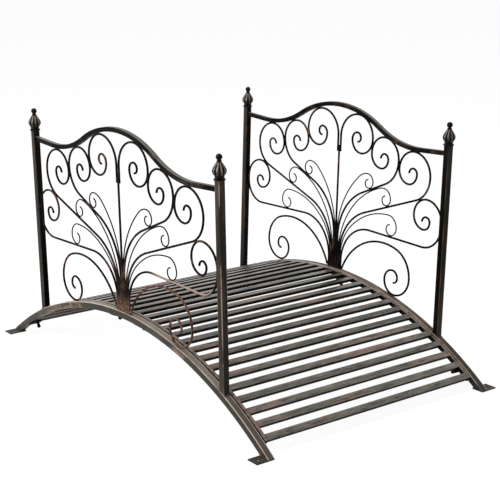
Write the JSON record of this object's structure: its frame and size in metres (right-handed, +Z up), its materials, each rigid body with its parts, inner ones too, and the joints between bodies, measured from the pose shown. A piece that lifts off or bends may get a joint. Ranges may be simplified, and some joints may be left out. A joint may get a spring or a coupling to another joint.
{
  "type": "moon bridge",
  "caption": "Arched steel garden footbridge with a slatted deck between two arch rails and leaning side railings filled with scrolls under a wavy top rail.",
  "frame": {"origin": "on the ground under the middle of the span", "axes": "+X along the walk towards the near end, +Y across the walk towards the right railing, +Z up"},
  "size_m": [1.0114, 0.671, 0.577],
  "materials": {
    "frame_paint": "bronze-black paint with copper brushing on the edges",
    "scroll_paint": "bronze-black paint with copper brushing",
    "deck_paint": "bronze-grey paint with copper patches"
  },
  "bodies": {
    "root": {"left_arch": "frame_paint", "right_arch": "frame_paint", "left_near_foot": "frame_paint", "left_far_foot": "frame_paint", "right_near_foot": "frame_paint", "right_far_foot": "frame_paint", "left_near_post": "frame_paint", "left_far_post": "frame_paint", "right_near_post": "frame_paint", "right_far_post": "frame_paint", "left_near_finial": "scroll_paint", "left_far_finial": "scroll_paint", "right_near_finial": "scroll_paint", "right_far_finial": "scroll_paint", "left_top_rail": "frame_paint", "right_top_rail": "frame_paint", "left_stem": "scroll_paint", "right_stem": "scroll_paint", "left_crest_scrolls": "scroll_paint", "right_crest_scrolls": "scroll_paint", "left_upper_scrolls": "scroll_paint", "right_upper_scrolls": "scroll_paint", "left_shoulder_scrolls": "scroll_paint", "right_shoulder_scrolls": "scroll_paint", "left_side_scrolls": "scroll_paint", "right_side_scrolls": "scroll_paint", "left_base_scrolls": "scroll_paint", "right_base_scrolls": "scroll_paint", "left_inner_leaves": "scroll_paint", "right_inner_leaves": "scroll_paint", "left_middle_leaves": "scroll_paint", "right_middle_leaves": "scroll_paint", "left_outer_leaves": "scroll_paint", "right_outer_leaves": "scroll_paint", "left_deck_bar": "deck_paint", "right_deck_bar": "deck_paint", "far_slats": "deck_paint", "crown_slats": "deck_paint", "near_slats": "deck_paint", "left_brackets": "scroll_paint", "right_brackets": "scroll_paint", "left_bolts": "scroll_paint", "right_bolts": "scroll_paint"}
  },
  "joints": []
}
